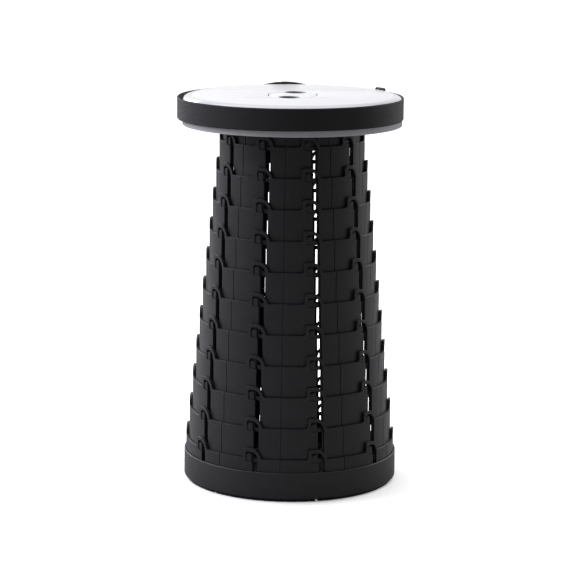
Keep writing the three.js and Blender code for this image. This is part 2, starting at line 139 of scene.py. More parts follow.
# %% Editing a mesh
def object_from(name, data):
    """A new object in the scene from a mesh, curve, light or camera."""
    obj = bpy.data.objects.new(name, data)
    bpy.context.scene.collection.objects.link(obj)
    return obj


def frozen(obj):
    """The mesh that a curve or a modifier makes. The object itself is removed."""
    evaluated = obj.evaluated_get(bpy.context.evaluated_depsgraph_get())
    mesh = bpy.data.meshes.new_from_object(evaluated)
    bpy.data.objects.remove(obj)
    return mesh


@contextmanager
def editing(mesh):
    """Opens a mesh for bmesh operations and writes the result back to it."""
    bm = bmesh.new()
    bm.from_mesh(mesh)
    yield bm
    bm.to_mesh(mesh)
    bm.free()


def weld(mesh, distance=1e-3):
    """Merges doubled vertices and turns every face outwards."""
    with editing(mesh) as bm:
        bmesh.ops.remove_doubles(bm, verts=bm.verts, dist=distance)
        bmesh.ops.dissolve_degenerate(bm, edges=bm.edges, dist=distance / 10)
        bmesh.ops.recalc_face_normals(bm, faces=bm.faces)


# %% Sheets
def sheet(name, outlines, thickness, edge=0.4, edge_steps=1):
    """A flat piece whose outside face is at height 0 and whose inside face is below it."""
    curve = bpy.data.curves.new(name, "CURVE")
    curve.dimensions = "2D"
    curve.fill_mode = "BOTH"
    curve.extrude = thickness / 2 - edge
    curve.bevel_depth = edge
    curve.bevel_resolution = edge_steps
    curve.offset = -edge
    for outline in outlines:
        spline = curve.splines.new("POLY")
        spline.points.add(len(outline) - 1)
        spline.points.foreach_set("co", [v for p in outline for v in (p[0], p[1], 0, 1)])
        spline.use_cyclic_u = True
    mesh = frozen(object_from(name + "_drawing", curve))
    mesh.name = name
    mesh.transform(Matrix.Translation((0, 0, -thickness / 2)))
    weld(mesh)
    return mesh


# %% Turned bodies and skins
def turned(name, profile, steps=180):
    """A body of revolution from a closed (radius, height) outline."""
    verts, faces, rows = [], [], []
    for radius, height in profile:
        on_axis = radius < 1e-6
        if on_axis:
            rows.append([len(verts)] * steps)
            verts.append((0, 0, height))
            continue
        rows.append(range(len(verts), len(verts) + steps))
        angles = np.linspace(0, 2 * math.pi, steps, endpoint=False)
        verts += [(radius * math.sin(a), -radius * math.cos(a), height) for a in angles]
    closed = [*zip(rows, rows[1:]), (rows[-1], rows[0])]
    for lower, upper in closed:
        for i in range(steps):
            j = (i + 1) % steps
            face = dict.fromkeys([lower[i], lower[j], upper[j], upper[i]])
            if len(face) > 2:
                faces.append(list(face))
    mesh = bpy.data.meshes.new(name)
    mesh.from_pydata(verts, [], faces)
    weld(mesh)
    return mesh


def skinned(name, rows):
    """A skin over rows of points that each close on themselves, capped at both ends."""
    count = len(rows[0])
    verts = [point for row in rows for point in row]
    faces = []
    for start in range(0, len(verts) - count, count):
        for i in range(count):
            j = (i + 1) % count
            faces.append([start + i, start + j, start + count + j, start + count + i])
    faces.append(list(range(count))[::-1])
    faces.append(list(range(len(verts) - count, len(verts))))
    mesh = bpy.data.meshes.new(name)
    mesh.from_pydata(verts, [], faces)
    return mesh


# %% Cutting and joining
def boxes(name, extents):
    """Plain blocks, used only as cutters, from (low corner, high corner) pairs."""
    bm = bmesh.new()
    for low, high in extents:
        middle = (Vector(low) + Vector(high)) / 2
        size = Vector(high) - Vector(low)
        place = Matrix.Translation(middle) @ Matrix.Diagonal((*size, 1))
        bmesh.ops.create_cube(bm, size=1, matrix=place)
    mesh = bpy.data.meshes.new(name)
    bm.to_mesh(mesh)
    bm.free()
    return mesh


def joined_or_cut(mesh, other, operation):
    """The mesh after a Boolean with another one: UNION or DIFFERENCE."""
    body = object_from("body", mesh)
    tool = object_from("tool", other)
    modifier = body.modifiers.new("boolean", "BOOLEAN")
    modifier.object, modifier.operation, modifier.solver = tool, operation, "EXACT"
    result = frozen(body)
    bpy.data.objects.remove(tool)
    return result


def merged(name, meshes):
    """Several meshes as one."""
    bm = bmesh.new()
    for mesh in meshes:
        bm.from_mesh(mesh)
    result = bpy.data.meshes.new(name)
    bm.to_mesh(result)
    bm.free()
    return result


def round_axis(mesh, count):
    """Copies of a mesh, evenly turned round the upright axis, as one mesh."""
    copies = []
    for i in range(count):
        copy = mesh.copy()
        copy.transform(Matrix.Rotation(2 * math.pi * i / count, 4, "Z"))
        copies.append(copy)
    return merged("round_axis", copies)


# %% [markdown]
# ## The finishes
# The black parts are moulded plastic with a fine grain: satin, a little cloudy, and paler where
# edges have rubbed. An image texture could hold all this, but it would need every piece
# unwrapped. Noise at several sizes gives the grain, the cloudiness and the handling marks, and
# the pointiness of the mesh finds the edges.

# %% Node helpers
def node(tree, kind, **settings):
    made = tree.nodes.new(kind)
    for key, value in settings.items():
        setattr(made, key, value)
    return made


def noise(tree, scale, detail=3.0):
    """Noise over the object's own coordinates. Scale is in features per metre."""
    where = node(tree, "ShaderNodeTexCoord")
    made = node(tree, "ShaderNodeTexNoise")
    made.inputs["Scale"].default_value = scale
    made.inputs["Detail"].default_value = detail
    tree.links.new(where.outputs["Object"], made.inputs["Vector"])
    return made.outputs["Fac"]


def spread(tree, source, low, high, start=0.3, end=0.7):
    """Stretches a grey value from start..end to low..high."""
    made = node(tree, "ShaderNodeMapRange")
    for name, value in zip(("From Min", "From Max", "To Min", "To Max"), (start, end, low, high)):
        made.inputs[name].default_value = value
    tree.links.new(source, made.inputs["Value"])
    return made.outputs["Result"]


def blend_colours(tree, amount, first, second):
    """Mixes two colours, either of which may be a socket."""
    made = node(tree, "ShaderNodeMix", data_type="RGBA")
    tree.links.new(amount, made.inputs["Factor"])
    for name, colour in (("A", first), ("B", second)):
        socket = [s for s in made.inputs if s.name == name and s.type == "RGBA"][0]
        if isinstance(colour, tuple):
            socket.default_value = (*colour, 1)
        else:
            tree.links.new(colour, socket)
    return [s for s in made.outputs if s.type == "RGBA"][0]


def bump(tree, height, strength, distance, under=None):
    made = node(tree, "ShaderNodeBump")
    made.inputs["Strength"].default_value = strength
    made.inputs["Distance"].default_value = distance
    tree.links.new(height, made.inputs["Height"])
    if under:
        tree.links.new(under, made.inputs["Normal"])
    return made.outputs["Normal"]


# %% Moulded plastic
CLOUDS, MARKS, GRAIN, WAVES = 35, 90, 3200, 18
COAT_ROUGHNESS = 0.08


def start_material(name):
    material = bpy.data.materials.new(name)
    material.use_nodes = True
    tree = material.node_tree
    return material, tree, tree.nodes["Principled BSDF"]


def moulded(name, colour, worn, roughness, grain=0.12, level=0.5, coat=0.0, cloud=0.05, mottle=1.25):
    """Moulded plastic: colour, the paler tone of rubbed edges, and how matt it is."""
    material, tree, shader = start_material(name)
    edges = node(tree, "ShaderNodeNewGeometry").outputs["Pointiness"]
    rubbed = spread(tree, edges, 0, 0.6, 0.53, 0.62)
    cloudy = tuple(c * mottle for c in colour)
    tone = blend_colours(tree, spread(tree, noise(tree, CLOUDS), 0, 1), colour, cloudy)
    tone = blend_colours(tree, rubbed, tone, worn)
    tree.links.new(tone, shader.inputs["Base Color"])
    marks = spread(tree, noise(tree, MARKS, 5), roughness - cloud, roughness + cloud)
    tree.links.new(marks, shader.inputs["Roughness"])
    fine = bump(tree, noise(tree, GRAIN, 2), grain, 0.00008)
    tree.links.new(bump(tree, noise(tree, WAVES), grain / 2, 0.0006, fine), shader.inputs["Normal"])
    shader.inputs["Specular IOR Level"].default_value = level
    shader.inputs["Coat Weight"].default_value = coat
    shader.inputs["Coat Roughness"].default_value = COAT_ROUGHNESS
    return material


# %% The plastics and the rubber
ring_black = moulded("ring_black", (0.013, 0.013, 0.0145), (0.05, 0.05, 0.055), 0.4, level=0.42)
base_black = moulded("base_black", (0.016, 0.016, 0.017), (0.05, 0.05, 0.054), 0.46, level=0.45)
fitting_black = moulded("fitting_black", (0.012, 0.012, 0.013), (0.03, 0.03, 0.033), 0.5, level=0.35)
pad_rubber = moulded("pad_rubber", (0.008, 0.008, 0.008), (0.02, 0.02, 0.02), 0.78, grain=0.3)
seat_white = moulded(
    "seat_white", (0.575, 0.575, 0.588), (0.6, 0.6, 0.61), 0.24, grain=0.015, coat=0.25, cloud=0.015,
    mottle=1.02,
)
trim_grey = moulded(
    "trim_grey", (0.45, 0.45, 0.475), (0.6, 0.6, 0.62), 0.12, grain=0.015, coat=0.6, cloud=0.03,
    mottle=1.05,
)
print("finishes:", sorted(m.name for m in bpy.data.materials))

# %% [markdown]
# Zinc plating is a metal with a slightly cloudy film. Anisotropic brushing could be added, but
# heads this small show only the clouds, so noise drives the colour, the roughness and the bump.

# %% The steel of the screws
def plated_steel():
    material, tree, shader = start_material("plated_steel")
    tone = blend_colours(tree, noise(tree, 700, 4), (0.5, 0.51, 0.53), (0.68, 0.67, 0.63))
    tree.links.new(tone, shader.inputs["Base Color"])
    shader.inputs["Metallic"].default_value = 1.0
    tree.links.new(spread(tree, noise(tree, 2500), 0.24, 0.42), shader.inputs["Roughness"])
    tree.links.new(bump(tree, noise(tree, 4000), 0.2, 0.00005), shader.inputs["Normal"])
    return material


screw_steel = plated_steel()
print("steel:", screw_steel.name)

# %% [markdown]
# The strap is woven webbing. Its warp runs along the strap in fine columns, and the weft crosses
# it as short ribs, offset from one column to the next. Real threads could be modelled, but there
# are thousands, so sine waves draw them as bump, and as colour that is darker in the grooves and
# paler on the ribs: painted shade and painted highlight. The strap's mesh carries the distance
# along and across it in millimetres, so the weave follows the band round the seat.

# %% The webbing's weave
WARP = 2.0
WEFT = 2.6


def maths(tree, operation, first, second=0.0):
    """A Math node on two values, either of which may be a socket."""
    made = node(tree, "ShaderNodeMath", operation=operation)
    for socket, value in zip(made.inputs, (first, second)):
        if isinstance(value, float):
            socket.default_value = value
        else:
            tree.links.new(value, socket)
    return made.outputs[0]


def ribs(tree, place_along):
    """A row of round ribs, one to each whole number."""
    wave = maths(tree, "SINE", maths(tree, "MULTIPLY", place_along, math.pi))
    return maths(tree, "ABSOLUTE", wave)


def woven(name, colour, bright):
    material, tree, shader = start_material(name)
    way = node(tree, "ShaderNodeAttribute", attribute_name="way")
    split = node(tree, "ShaderNodeSeparateXYZ")
    tree.links.new(way.outputs["Vector"], split.inputs["Vector"])
    column = maths(tree, "DIVIDE", split.outputs["Y"], WARP)
    shifted = maths(tree, "MULTIPLY", maths(tree, "FLOOR", column), 0.5)
    row = maths(tree, "ADD", maths(tree, "DIVIDE", split.outputs["X"], WEFT), shifted)
    across, along = ribs(tree, column), ribs(tree, row)
    weave = maths(tree, "MULTIPLY", maths(tree, "POWER", across, 0.6), maths(tree, "POWER", along, 0.5))
    fuzz = noise(tree, 2600, 4)
    height = maths(tree, "ADD", weave, maths(tree, "MULTIPLY", fuzz, 0.3))
    # Painted shade and painted highlight: the colour is darker where the weave is low and paler on its
    # ribs.
    tone = blend_colours(tree, weave, colour, bright)
    faded = spread(tree, noise(tree, 40), 0, 0.35)
    tree.links.new(blend_colours(tree, faded, tone, bright), shader.inputs["Base Color"])
    tree.links.new(spread(tree, weave, 0.9, 0.7, 0, 1), shader.inputs["Roughness"])
    tree.links.new(bump(tree, height, 0.9, 0.0003), shader.inputs["Normal"])
    shader.inputs["Sheen Weight"].default_value = 0.1
    shader.inputs["Sheen Roughness"].default_value = 0.4
    shader.inputs["Specular IOR Level"].default_value = 0.3
    return material


# The first colour is painted shade in the weave's grooves. The second is painted highlight on its ribs and
# also the random fading.
webbing_black = woven("webbing_black", (0.004, 0.004, 0.0045), (0.021, 0.021, 0.0225))
print("weave, mm between ribs across and along:", WARP, WEFT)

# %% [markdown]
# ## Placing a piece
# Each piece says three things: the CAD nodes it stands for, the body it moves with, and its
# Blender material. Each could be set piece by piece, but one function that says all three
# leaves nothing out.

# %% Placing helper
def place(name, mesh, body, nodes, slot, material, turn=0, smooth=35):
    """A mesh drawn in millimetres becomes a piece of the stool. Angles are in degrees."""
    mesh.transform(Matrix.Rotation(math.radians(turn), 4, "Z") @ Matrix.Scale(MM, 4))
    mesh.shade_smooth()
    mesh.set_sharp_from_angle(angle=math.radians(smooth))
    mesh.materials.clear()
    mesh.materials.append(material)
    mesh.name = name
    obj = object_from(name, mesh)
    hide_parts(*nodes)
    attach(obj, body)
    return obj


# %% [markdown]
# ## One sector of a ring
# A ring's wall is the same drawing ten times over: a panel, and an arch over a hooked window.
# The inner ring's lug goes up the slot and turns into the hook, which is what holds the stool
# open. A turned tube could be cut ten times over, but a flat drawing that is bent afterwards
# keeps its rounded edges even and the wall at one thickness.

# %% The sector's outline
SLOT = 7.1
FOOT_BAND = 4.4
LUG_LOW = 1.3
HOOK_FLOOR = LUG_LOW + STEP - 0.1
PANEL_TOP = HOOK_FLOOR + 3.5
WINDOW_TOP = HOOK_FLOOR + 11.7
STRIP = 3.6
ARCH_TOP = WINDOW_TOP + STRIP
HOOK_LEFT = -11.7
SHOULDER_RUN, SHOULDER_DROP = 9.55, 12.2
SHOULDER_X = SLOT / 2 - SHOULDER_RUN
SHOULDER_Z = WINDOW_TOP - SHOULDER_DROP
ROOT_ANGLE, ROOT_FILLET = 24, 2.8


def panel_outline(half, has_arch, top):
    """The outside of one sector, from half a sector left of the slot to half a sector right."""
    if not has_arch:
        return rounded([(-half, 0, 0), (half, 0, 0), (half, top, 0), (-half, top, 0)])
    run, drop = SHOULDER_RUN + STRIP, SHOULDER_DROP + STRIP
    root = SHOULDER_X + run - 0.4
    left = HOOK_LEFT - STRIP
    rise = [(-half, 0, 0), (half, 0, 0), (half, PANEL_TOP, 0), (root, PANEL_TOP, ROOT_FILLET)]
    climb = quarter_ellipse(SHOULDER_X, SHOULDER_Z, run, drop, start=ROOT_ANGLE)
    fall = [(left, ARCH_TOP, 3.2), (left, PANEL_TOP, ROOT_FILLET), (-half, PANEL_TOP, 0)]
    return rounded([*rise, *climb, *fall])


# %% The hooked window
def window_outline():
    """The slot, with the hook at its top left."""
    side = SLOT / 2
    foot = [(-side, FOOT_BAND, 0.8), (side, FOOT_BAND, 0.8)]
    shoulder = quarter_ellipse(SHOULDER_X, SHOULDER_Z, SHOULDER_RUN, SHOULDER_DROP)
    hook = [(HOOK_LEFT, WINDOW_TOP, 4.2), (HOOK_LEFT, HOOK_FLOOR, 2.2), (-side, HOOK_FLOOR, 0.9)]
    return rounded([*foot, *shoulder, *hook])


print("window, mm: slot", SLOT, "hook", round(WINDOW_TOP - HOOK_FLOOR, 1), "points", len(window_outline()))

# %% [markdown]
# ## Lugs, channels and the parting line
# The lug is a small rounded block on the ring's outside, near its foot. The next ring out has a
# shallow channel inside, under each hook, where the lug runs when the stool folds. A fine
# parting line runs down each panel. All three could be made on the finished ring, but here they
# are joined and cut with Booleans while the sector is flat, where plain blocks are enough.

# %% Lug and cutters
LUG_LEFT, LUG_RIGHT = -11.6, -4.8
LUG_TALL, LUG_OUT = 9.1, 2.9
LUG_ROOTED = 1.2
LUG_ROOM = 0.28
PARTING_ANGLE = math.radians(13.5)
PARTING_WIDTH, PARTING_DEPTH = 0.9, 1.2
LIP_WIDTH, LIP_DEPTH = 1.8, 1.2


def lug_mesh(k):
    """The lug on ring k, lined up with the hook of the ring outside it."""
    inwards = ring_radius[k] / (ring_radius[k] + RING_PITCH)
    left, right = LUG_LEFT * inwards, LUG_RIGHT * inwards
    low, high = LUG_LOW, LUG_LOW + LUG_TALL
    outline = rounded([(left, low, 2), (right, low, 0.9), (right, high, 1.4), (left, high, 3.4)])
    mesh = sheet("lug", [outline], LUG_OUT + LUG_ROOTED, edge=0.3)
    mesh.transform(Matrix.Translation((0, 0, LUG_OUT)))
    return mesh


def slot_lip(width):
    """A thin lip inside the wall, which narrows the slot from its right to a line of light."""
    side = SLOT / 2
    low, high = FOOT_BAND - 1, HOOK_FLOOR + 1
    left, right = side - width, side + 1
    outline = rounded([(left, low, 0), (right, low, 0), (right, high, 0), (left, high, 1.2)])
    mesh = sheet("lip", [outline], LIP_DEPTH, edge=0.2)
    mesh.transform(Matrix.Translation((0, 0, LIP_DEPTH - WALL)))
    return mesh


def sector_cutters(k, top):
    """The lug's channel on the inside face and the parting line on the outside one."""
    radius = ring_radius[k]
    line = PARTING_ANGLE * radius
    low, high = line - PARTING_WIDTH / 2, line + PARTING_WIDTH / 2
    cuts = [((low, -1, -PARTING_DEPTH), (high, top + 1, 1))]
    if k > 0:
        depth = LUG_OUT + LUG_ROOM - RING_PITCH
        channel = (LUG_LEFT - LUG_ROOM, -1, -2 * WALL), (LUG_RIGHT + LUG_ROOM, HOOK_FLOOR + 1, depth)
        cuts.append(channel)
    return boxes("cutters", cuts)


# %% [markdown]
# ## From flat sector to ring
# The flat sector is cut by evenly spaced planes, so that the wall has edges to bend at, and then
# each point's distance along the sheet becomes an angle. A Simple Deform modifier bends too, but
# its centre line would have to be matched to the ring. Ten copies are joined at their edges. The
# wall's two faces get exactly radial normals, because long thin triangles would shade unevenly
# on a satin surface.

# %% Bending a sheet
def read(items, attribute, width=3):
    """One attribute of many mesh items, as a row of numbers for each item."""
    values = np.empty(len(items) * width)
    items.foreach_get(attribute, values)
    return values.reshape(-1, width)


def read_whole(items, attribute):
    """One whole number for each mesh item."""
    values = np.empty(len(items), int)
    items.foreach_get(attribute, values)
    return values


def bent(mesh, radius):
    """Bends a sheet round the upright axis: x runs round, y goes up, z is the depth."""
    x, y, z = read(mesh.vertices, "co").T
    angle, reach = x / radius, radius + z
    bent_co = np.stack((reach * np.sin(angle), -reach * np.cos(angle), y), axis=1)
    mesh.vertices.foreach_set("co", bent_co.ravel())
    mesh.update()


def score(bm, x, **ends):
    """Cuts edges across a sheet at one x. It can bend there, or lose the part on one side."""
    everything = [*bm.verts, *bm.edges, *bm.faces]
    bmesh.ops.bisect_plane(
        bm, geom=everything, dist=1e-4, plane_co=(x, 0, 0), plane_no=(1, 0, 0), **ends
    )


# %% Joining sectors
BENDS = 18


def trimmed(mesh, half, cuts):
    """Cuts the sheet's two ends off square, and scores it where it is going to bend."""
    with editing(mesh) as bm:
        for i in range(cuts + 1):
            x = half * (2 * i / cuts - 1)
            score(bm, x, clear_inner=i == 0, clear_outer=i == cuts)


def ring_of(sector):
    """Ten copies of a bent sector, welded edge to edge."""
    ring = round_axis(sector, SECTORS)
    with editing(ring) as bm:
        bmesh.ops.remove_doubles(bm, verts=bm.verts, dist=2e-3)
    return ring


# %% Smooth walls
def radial_shading(obj, faces_at):
    """Gives the wall's inner and outer faces normals that point straight at the axis or away."""
    mesh = obj.data
    normals = read(mesh.corner_normals, "vector")
    face_normals = read(mesh.polygon_normals, "vector")
    verts = read_whole(mesh.loops, "vertex_index")
    x, y, _ = read(mesh.vertices, "co").T
    reach = np.hypot(x, y)
    away = np.stack((x / reach, y / reach, 0 * reach), axis=1)
    face_of = np.repeat(np.arange(len(mesh.polygons)), read_whole(mesh.polygons, "loop_total"))
    facing = (face_normals[face_of] * away[verts]).sum(1)
    for radius, sign in faces_at:
        on_face = np.abs(reach - radius * MM) < 0.03 * MM
        hit = on_face[verts] & (facing * sign > 0.5)
        normals[hit] = sign * away[verts][hit]
    mesh.normals_split_custom_set(normals)


# %% [markdown]
# ## The twelve rings
# Ring 0 is inside all the others and carries the seat, so it has no arches but a flange at its
# top. The last ring stands in the base, and its floor flange is screwed down there. Between
# them each ring has both arches above and lugs below. They could be drawn one by one, but their
# radius and a few choices are all that differs, so one loop makes all twelve.

# %% Flanges and bosses
FIRST_SLOT = math.radians(17.4)
SCREWS = 5
SCREW_CIRCLE = 66
SHANK_RADIUS, SHANK_ROOM = 1.6, 0.3
BOSS_RADIUS, BOSS_HEIGHT, BOSS_TIP = 4.4, 7, 1.5
SEAT_FLANGE = 3
SEAT_FLANGE_INSIDE, FLOOR_FLANGE_INSIDE = 52, 58


def circle(radius, x=0.0, y=0.0, steps=36):
    return [Vector((x + p.x, y + p.y)) for p in oval(2 * radius, 2 * radius, steps)]


def round_the_screws(radius):
    """One small circle at each of the five screws."""
    around = [2 * math.pi * i / SCREWS for i in range(SCREWS)]
    return [circle(radius, SCREW_CIRCLE * math.sin(a), -SCREW_CIRCLE * math.cos(a), 24) for a in around]


def flange(inner, outer, hole, top, thickness):
    """A flat ring between two radii, with a hole for each screw."""
    outlines = [circle(outer, steps=180), circle(inner, steps=144), *round_the_screws(hole)]
    mesh = sheet("flange", outlines, thickness, edge=0.35)
    mesh.transform(Matrix.Translation((0, 0, top)))
    return mesh


def at_screws(mesh):
    """Moves a mesh from the axis to the first screw, and copies it to the others."""
    mesh.transform(Matrix.Translation((0, -SCREW_CIRCLE, 0)))
    return round_axis(mesh, SCREWS)


def boss(low, high, bore_top):
    """A round boss with a blind hole for a screw, open at its foot."""
    bore = SHANK_RADIUS + SHANK_ROOM
    profile = [
        (bore, low, 0), (BOSS_RADIUS, low, 0.3), (BOSS_RADIUS, high, 0.5), (0, high, 0),
        (0, bore_top, 0), (bore, bore_top, 0.2),
    ]
    return turned("boss", rounded(profile), steps=32)


# %% Make the rings
seat_flange_top = corners_of("ring_00")[1].z


def make_ring(k):
    """The wall of ring k: ten sectors, each with its slot, lug, lip, channel and parting line."""
    radius, foot = ring_radius[k], ring_foot[k]
    half = math.pi * radius / SECTORS
    top = PANEL_TOP if k else seat_flange_top - foot
    outlines = [panel_outline(half + 2, k > 0, top), window_outline()]
    sector = sheet("sector", outlines, WALL, edge=0.45)
    if k < LAST_RING:
        sector = joined_or_cut(sector, lug_mesh(k), "UNION")
    sector = joined_or_cut(sector, slot_lip(LIP_WIDTH if k else SLOT + 0.5), "UNION")
    sector = joined_or_cut(sector, sector_cutters(k, ARCH_TOP + 1), "DIFFERENCE")
    trimmed(sector, half, BENDS)
    bent(sector, radius)
    ring = ring_of(sector)
    ring.transform(Matrix.Translation((0, 0, foot)) @ Matrix.Rotation(FIRST_SLOT, 4, "Z"))
    return ring


def seat_flange():
    hole = BOSS_RADIUS + 0.3
    return flange(SEAT_FLANGE_INSIDE, ring_radius[0] - 1, hole, seat_flange_top, SEAT_FLANGE)


def floor_flange():
    """The last ring's flange, with a boss over each screw hole."""
    top, hole = ring_foot[LAST_RING], SHANK_RADIUS + SHANK_ROOM
    floor = flange(FLOOR_FLANGE_INSIDE, LAST_RADIUS - 0.2, hole, top, FLOOR_FLANGE)
    bosses = at_screws(boss(0.5 - FLOOR_FLANGE, BOSS_HEIGHT, BOSS_HEIGHT - BOSS_TIP))
    bosses.transform(Matrix.Translation((0, 0, top)))
    return merged("floor_flange", [floor, bosses])


for k in RINGS:
    ring = make_ring(k)
    if k == 0:
        ring = merged("ring", [ring, seat_flange()])
    if k == LAST_RING:
        ring = merged("ring", [ring, floor_flange()])
    body = {0: "seat", LAST_RING: "base"}.get(k, ring_name(k))
    piece = place(f"nested_ring_{k:02d}", ring, body, [ring_name(k)], "ring_plastic", ring_black)
    radial_shading(piece, [(ring_radius[k], 1), (ring_radius[k] - WALL, -1)])
    print(piece.name, "faces", len(piece.data.polygons))

# %% [markdown]
# ## The base
# The base is a shallow tray that the last ring is screwed into. It has a rounded lower edge, a
# shallow recess underneath for the rubber pads, and five countersunk holes. A cylinder could be
# hollowed out with Booleans, but a spun profile with rounded corners gives all but the holes.

# %% The base tray
tray_low, tray_high = corners_of("base_tray")
TRAY_BORE = LAST_RADIUS + RUNNING_GAP
TRAY_WALL, TRAY_FLOOR = 1.9, 2.2
BASE_RADIUS = TRAY_BORE + TRAY_WALL
PAD_WIDTH, PAD_SETBACK = 14.5, 3.2
PAD_OUT = BASE_RADIUS - PAD_SETBACK
PAD_IN = PAD_OUT - PAD_WIDTH
PAD_ROOM, PAD_RECESS = 0.6, 1.0


def make_tray():
    low, floor, rim = tray_low.z, tray_low.z + TRAY_FLOOR, tray_high.z
    recess = low + PAD_RECESS
    pads_in, pads_out = PAD_IN - PAD_ROOM, PAD_OUT + PAD_ROOM
    profile = [
        (0, low, 0), (pads_in, low, 0.3), (pads_in, recess, 0.3), (pads_out, recess, 0.3),
        (pads_out, low, 0.3), (BASE_RADIUS, low, 2), (BASE_RADIUS, rim, 0.7), (TRAY_BORE, rim, 0.5),
        (TRAY_BORE, floor, 0.2), (0, floor, 0),
    ]
    tray = turned("tray", rounded(profile))
    head, shank = 4.1, SHANK_RADIUS + SHANK_ROOM
    sink = [
        (0, low - 1, 0), (head, low - 1, 0), (head, low, 0), (shank, low + head - shank, 0),
        (shank, floor + 1, 0), (0, floor + 1, 0),
    ]
    return joined_or_cut(tray, at_screws(turned("sink", rounded(sink), steps=32)), "DIFFERENCE")


place("base_dish", make_tray(), "base", ["base_tray"], "base_plastic", base_black)
print("base, mm across:", round(2 * BASE_RADIUS, 1))

# %% [markdown]
# ## The rubber pads
# Six curved pads are pressed into the recess. Each has rounded ends and shallow cross grooves.
# A spun ring could be cut into six, but its ends would be sharp. So each pad is a curved strip
# with four rounded corners, and nine thin blocks cut its grooves.

# %% Pads
PADS = 6
PAD_SPAN = math.radians(58.5)
PAD_STEPS, PAD_CORNER = 40, 1.5
PAD_GROOVES, GROOVE_HALF, GROOVE_DEEP = 9, 0.6, 0.55


def pad_mesh(thickness):
    """One pad on its lower face, centred on +X, with grooves across its underside."""
    angles = np.linspace(-PAD_SPAN / 2, PAD_SPAN / 2, PAD_STEPS)
    soft = [PAD_CORNER, *[0] * (PAD_STEPS - 2), PAD_CORNER]
    outer = [(PAD_OUT * math.cos(a), PAD_OUT * math.sin(a), r) for a, r in zip(angles, soft)]
    inner = [(PAD_IN * math.cos(a), PAD_IN * math.sin(a), r) for a, r in zip(angles[::-1], soft)]
    pad = sheet("pad", [rounded(outer + inner)], thickness, edge=0.35)
    pad.transform(Matrix.Translation((0, 0, thickness)))
    extent = (PAD_IN - 2, -GROOVE_HALF, -1), (PAD_OUT + 2, GROOVE_HALF, GROOVE_DEEP)
    groove = boxes("groove", [extent])
    grooves = []
    for i in range(PAD_GROOVES):
        copy = groove.copy()
        angle = PAD_SPAN * ((i + 0.5) / PAD_GROOVES - 0.5)
        copy.transform(Matrix.Rotation(angle, 4, "Z"))
        grooves.append(copy)
    return joined_or_cut(pad, merged("grooves", grooves), "DIFFERENCE")


pad_top = corners_of("foot_pad_1")[1].z
pad = pad_mesh(pad_top)
for i in range(PADS):
    turn = 360 / PADS * (i + 0.25)
    place(f"ribbed_pad_{i + 1}", pad.copy(), "base", [f"foot_pad_{i + 1}"], "pad_rubber", pad_rubber, turn)
print("pads", PADS, "thickness", round(pad_top, 2))

# %% [markdown]
# ## The screws
# Two kinds of plated screw hold the stool together: countersunk ones up through the base, and
# pan heads up through the top ring's flange into the seat. Each has a cross recess in its head
# and a thread. A real thread is a helix, but on a shank this small a row of ridges looks the
# same, and it can be spun in one piece with the head.

# %% Screws
def screw(profile, recess):
    """A spun screw with its recess cut by two crossed blocks."""
    body = turned("screw", rounded(profile), steps=32)
    for arm in recess:
        body = joined_or_cut(body, boxes("arm", [arm]), "DIFFERENCE")
    return body


def threads(low, high, pitch=1.2, depth=0.28):
    """The shank's outline with a thread drawn as a row of ridges."""
    points, z = [], low
    while z + pitch < high:
        points += [(SHANK_RADIUS - depth, z, 0), (SHANK_RADIUS, z + pitch / 2, 0)]
        z += pitch
    return points


def cross_arms(size, low, high, blade=0.4):
    return [
        ((-size, -blade, low), (size, blade, high)),
        ((-blade, -size, low), (blade, size, high)),
    ]


FLAT_HEAD, FLAT_HEAD_TALL = 3.7, 2.1
PAN_HEAD, PAN_HEAD_TALL, PAN_CROWN = 5.55, 2.2, 4.2
SHANK_TIP = SHANK_RADIUS - 0.4
RECESS_DEEP = 1.3


def flat_screw():
    low, high = (corner.z for corner in corners_of("base_screw_1"))
    profile = [
        (0, low, 0), (FLAT_HEAD, low, 0.2), (SHANK_RADIUS, low + FLAT_HEAD_TALL, 0),
        *threads(low + FLAT_HEAD_TALL + 0.3, high - 1.6), (SHANK_TIP, high - 1.2, 0), (0, high, 0),
    ]
    return screw(profile, cross_arms(2.0, low - 1, low + RECESS_DEEP))


def pan_screw():
    low, high = (corner.z for corner in corners_of("seat_screw_1"))
    profile = [
        (0, low, 0), (PAN_CROWN, low + 0.1, 0.9), (PAN_HEAD, low + 1.2, 0.5),
        (PAN_HEAD, low + PAN_HEAD_TALL, 0.1), (SHANK_RADIUS, low + PAN_HEAD_TALL, 0),
        *threads(low + PAN_HEAD_TALL + 0.4, high - 1.4), (SHANK_TIP, high - 1, 0), (0, high, 0),
    ]
    return screw(profile, cross_arms(2.4, low - 1, low + RECESS_DEEP))


screws_by_body = {"base": flat_screw(), "seat": pan_screw()}
for i in range(SCREWS):
    for body, made in screws_by_body.items():
        copy = made.copy()
        copy.transform(Matrix.Translation((0, -SCREW_CIRCLE, 0)))
        node_name = f"{body}_screw_{i + 1}"
        place(f"plated_{node_name}", copy, body, [node_name], "screw_steel", screw_steel, 360 / SCREWS * i)
print("screws", 2 * SCREWS)

# %% [markdown]
# ## The seat's cap
# The cap is one glossy moulding: a deck, a rounded shoulder that shows as a bright line round
# the white disc, and a skirt that the strap sits on. The trim ring hangs below it. Both could be
# bevelled cylinders, but a spun profile holds the wide curve of the shoulder and the small ones
# of the edges in one outline. The deck is then cut through for the finger grip.

